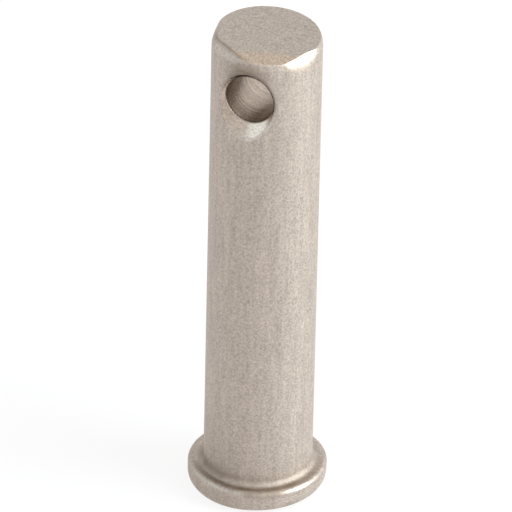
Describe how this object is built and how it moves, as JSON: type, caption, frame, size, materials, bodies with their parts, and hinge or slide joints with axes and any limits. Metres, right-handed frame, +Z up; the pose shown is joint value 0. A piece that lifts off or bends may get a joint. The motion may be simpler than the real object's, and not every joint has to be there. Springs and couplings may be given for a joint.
{
  "type": "clevis pin",
  "caption": "Plain round clevis pin with a thin flat head at one end and a countersunk cross hole near the other end for a cotter or a split ring.",
  "frame": {"origin": "centre of the head's flat end, which the pin stands on", "axes": "+Z up the shank from the head to the free end; the cross hole runs along Y"},
  "size_m": [0.0082, 0.0082, 0.03],
  "materials": {
    "satin_stainless": "satin, tumbled, with fine scratches along the shank"
  },
  "bodies": {
    "root": {"clevis_pin": "satin_stainless"}
  },
  "joints": []
}
